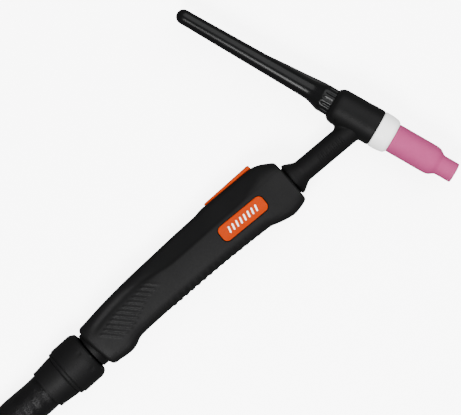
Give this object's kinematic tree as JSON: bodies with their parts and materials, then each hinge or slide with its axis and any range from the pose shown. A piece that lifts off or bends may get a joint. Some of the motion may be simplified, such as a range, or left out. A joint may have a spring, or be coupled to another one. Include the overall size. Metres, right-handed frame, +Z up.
{
  "type": "tig torch",
  "caption": "Air-cooled TIG welding torch lying on its side, with a trigger, ball-swivel cable outlet, ceramic cup, long back cap, and a coiled cable that ends in its plugs.",
  "frame": {"origin": "on the bench, under the centre of the torch's box, cable and plugs left out", "axes": "+X along the electrode towards the arc; +Z up from the bench; the handle runs towards -Y"},
  "size_m": [0.3532, 0.6848, 0.05],
  "materials": {
    "handle_plastic": "fine-textured matt black moulding",
    "head_mould": "matt black insulating moulding",
    "cap_plastic": "glossy black phenolic",
    "dark_plastic": "satin black moulding",
    "orange_plastic": "satin orange moulding",
    "grey_plastic": "natural grey moulding",
    "rubber": "matt black rubber",
    "gasket_white": "off-white fluoropolymer",
    "alumina": "unglazed pink alumina",
    "copper": "bright machined copper",
    "brass": "machined brass",
    "tungsten": "ground tungsten",
    "steel": "plated steel",
    "nickel": "nickel-plated ring",
    "jacket": "black hard-wearing jacket",
    "strap": "woven hook-and-loop strap"
  },
  "bodies": {
    "handle": {"collet": "copper", "collet_body": "copper", "cup_gasket": "gasket_white", "head_core": "brass", "head_mould": "head_mould", "neck_tube": "copper", "neck_nut": "brass", "shell_left": "handle_plastic", "shell_right": "handle_plastic", "shell_screws": "steel", "badge": "orange_plastic", "trigger_pin": "steel", "switch_body": "dark_plastic", "switch_spring": "steel", "switch_terminals": "brass", "switch_wires": "rubber", "front_hose": "rubber", "hose_ferrule": "steel", "socket_ring": "dark_plastic", "cable_run": "jacket", "cable_coil": "jacket", "cable_tail": "jacket", "coil_tie": "strap", "end_boot": "rubber", "power_plug_body": "rubber", "power_plug_pin": "brass", "control_lead": "rubber", "control_plug_shell": "dark_plastic", "control_plug_insert": "dark_plastic"},
    "trigger": {"trigger": "orange_plastic"},
    "switch_plunger": {"switch_plunger": "grey_plastic"},
    "cap_seal": {"cap_o_ring": "rubber"},
    "back_cap": {"back_cap": "cap_plastic"},
    "cup": {"cup": "alumina"},
    "electrode": {"electrode": "tungsten"},
    "swivel": {"swivel_ball": "dark_plastic", "rear_hose": "rubber"},
    "collar": {"collar": "dark_plastic", "clamp_ring": "dark_plastic"},
    "plug_ring": {"control_plug_ring": "nickel"}
  },
  "joints": [
    {"name": "trigger_press", "type": "hinge", "parent": "handle", "child": "trigger", "pos_m": [-0.02064, 0.02365, 0.0166], "axis": [0, 0, -1], "range_deg": [0, 3], "stiffness_Nm_per_rad": 0.35, "springref_deg": -1.72},
    {"name": "plunger_travel", "type": "slide", "parent": "handle", "child": "switch_plunger", "axis": [0.9489, -0.3156, 0], "range_m": [0, 0.0012], "deforming": ["switch_spring"]},
    {"name": "cap_travel", "type": "slide", "parent": "handle", "child": "cap_seal", "axis": [-1, 0, 0], "range_m": [0, 0.01016]},
    {"name": "cap_unscrew", "type": "hinge", "parent": "cap_seal", "child": "back_cap", "pos_m": [0.0214, 0.11736, 0.0166], "axis": [-1, 0, 0], "range_deg": [0, 2880]},
    {"name": "cup_off", "type": "slide", "parent": "handle", "child": "cup", "axis": [1, 0, 0], "range_m": [0, 0.05]},
    {"name": "electrode_feed", "type": "slide", "parent": "handle", "child": "electrode", "axis": [1, 0, 0], "range_m": [0, 0.022]},
    {"name": "swivel_tilt", "type": "hinge", "parent": "handle", "child": "swivel", "pos_m": [-0.03661, -0.07853, 0.0166], "axis": [0, 0, 1], "range_deg": [-15, 15], "deforming": ["cable_run"]},
    {"name": "swivel_turn", "type": "hinge", "parent": "swivel", "child": "collar", "pos_m": [-0.04387, -0.10036, 0.0166], "axis": [0.3156, 0.9489, 0], "range_deg": [-180, 180]},
    {"name": "plug_ring_turn", "type": "hinge", "parent": "handle", "child": "plug_ring", "pos_m": [0.21116, -0.39913, 0.0082], "axis": [0.3156, 0.9489, 0], "continuous": true}
  ],
  "couplings": [
    {"joint": "plunger_travel", "follows": "trigger_press", "m_per_rad": 0.022},
    {"joint": "cap_unscrew", "follows": "cap_travel", "rad_per_m": 4947.3}
  ]
}
